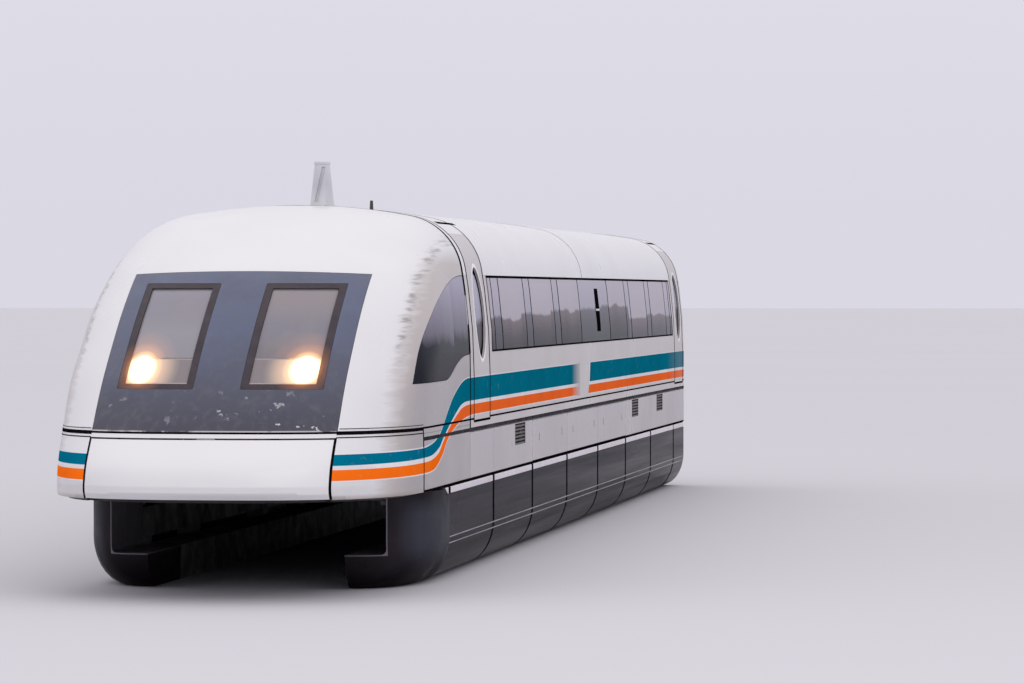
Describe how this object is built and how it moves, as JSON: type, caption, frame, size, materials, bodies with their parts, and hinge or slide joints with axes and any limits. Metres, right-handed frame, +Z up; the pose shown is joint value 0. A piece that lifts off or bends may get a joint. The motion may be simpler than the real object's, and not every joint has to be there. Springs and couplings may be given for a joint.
{
  "type": "magnetic levitation train end car",
  "caption": "End car of a magnetic levitation train with a sloped nose, ribbon windows, plug doors, hinged service flaps and skirts that clasp the guideway.",
  "frame": {"origin": "on the ground line under the middle of the car, level with the lowest edge of the skirts", "axes": "+Y towards the rear of the car, so the nose points to -Y; +X to the left side of the car; +Z up"},
  "size_m": [3.7, 26.99, 4.4635],
  "materials": {
    "body_white": "gloss, lightly soiled",
    "mask_dark": "satin",
    "tinted_glass": "reflective",
    "lamp_glass": "clear",
    "skirt_dark": "gloss",
    "rubber_black": "satin",
    "pan_grey": "satin",
    "frame_grey": "satin",
    "magnet_steel": "dull",
    "interior_grey": "matt",
    "seat_cloth": "matt",
    "desk_dark": "matt",
    "coupler_metal": "matt",
    "aerial_white": "gloss",
    "aerial_black": "gloss"
  },
  "bodies": {
    "car": {"nose_shell": "body_white", "windscreen_mask": "mask_dark", "roof_shell": "body_white", "rear_end_wall": "interior_grey", "gangway_seal": "rubber_black", "cabin_floor": "interior_grey", "belly_pan": "pan_grey", "aerial": "aerial_white", "small_aerial": "aerial_black", "driver_desk": "desk_dark", "driver_seats": "seat_cloth", "cab_bulkhead": "interior_grey", "emergency_coupler": "coupler_metal", "windscreen_glass_left": "tinted_glass", "cab_side_glass_left": "tinted_glass", "headlamp_left": "lamp_glass", "side_wall_left": "body_white", "window_band_left": "tinted_glass", "trim_rail_left": "rubber_black", "door_front_left": "body_white", "door_rear_left": "body_white", "equipment_case_left": "frame_grey", "skirt_left": "skirt_dark", "skirt_fairing_left": "skirt_dark", "levitation_magnets_left": "magnet_steel", "guidance_magnets_left": "magnet_steel", "passenger_seats_left": "seat_cloth", "pane_frame_left": "mask_dark", "door_glass_front_left": "tinted_glass", "door_glass_rear_left": "tinted_glass", "windscreen_glass_right": "tinted_glass", "cab_side_glass_right": "tinted_glass", "headlamp_right": "lamp_glass", "side_wall_right": "body_white", "window_band_right": "tinted_glass", "trim_rail_right": "rubber_black", "door_front_right": "body_white", "door_rear_right": "body_white", "equipment_case_right": "frame_grey", "skirt_right": "skirt_dark", "skirt_fairing_right": "skirt_dark", "levitation_magnets_right": "magnet_steel", "guidance_magnets_right": "magnet_steel", "passenger_seats_right": "seat_cloth", "pane_frame_right": "mask_dark", "door_glass_front_right": "tinted_glass", "door_glass_rear_right": "tinted_glass", "levitation_frame_1": "frame_grey", "levitation_frame_2": "frame_grey", "levitation_frame_3": "frame_grey", "levitation_frame_4": "frame_grey"},
    "bay_flap_1_left_body": {"bay_flap_1_left": "body_white"},
    "bay_flap_1_right_body": {"bay_flap_1_right": "body_white"},
    "bay_flap_2_left_body": {"bay_flap_2_left": "body_white"},
    "bay_flap_2_right_body": {"bay_flap_2_right": "body_white"},
    "bay_flap_3_left_body": {"bay_flap_3_left": "body_white"},
    "bay_flap_3_right_body": {"bay_flap_3_right": "body_white"},
    "nose_flap_body": {"nose_flap": "body_white"}
  },
  "joints": [
    {"name": "nose_flap_hinge", "type": "hinge", "parent": "car", "child": "nose_flap_body", "pos_m": [0, -13.153, 1.5835], "axis": [-1, 0, 0], "range_deg": [0, 75]},
    {"name": "bay_flap_1_left_hinge", "type": "hinge", "parent": "car", "child": "bay_flap_1_left_body", "pos_m": [1.842, -1.985, 1.502], "axis": [0, -1, 0], "range_deg": [0, 90]},
    {"name": "bay_flap_2_left_hinge", "type": "hinge", "parent": "car", "child": "bay_flap_2_left_body", "pos_m": [1.842, 1.111, 1.502], "axis": [0, -1, 0], "range_deg": [0, 90]},
    {"name": "bay_flap_3_left_hinge", "type": "hinge", "parent": "car", "child": "bay_flap_3_left_body", "pos_m": [1.842, 4.207, 1.502], "axis": [0, -1, 0], "range_deg": [0, 90]},
    {"name": "bay_flap_1_right_hinge", "type": "hinge", "parent": "car", "child": "bay_flap_1_right_body", "pos_m": [-1.842, -1.985, 1.502], "axis": [0, 1, 0], "range_deg": [0, 90]},
    {"name": "bay_flap_2_right_hinge", "type": "hinge", "parent": "car", "child": "bay_flap_2_right_body", "pos_m": [-1.842, 1.111, 1.502], "axis": [0, 1, 0], "range_deg": [0, 90]},
    {"name": "bay_flap_3_right_hinge", "type": "hinge", "parent": "car", "child": "bay_flap_3_right_body", "pos_m": [-1.842, 4.207, 1.502], "axis": [0, 1, 0], "range_deg": [0, 90]}
  ]
}
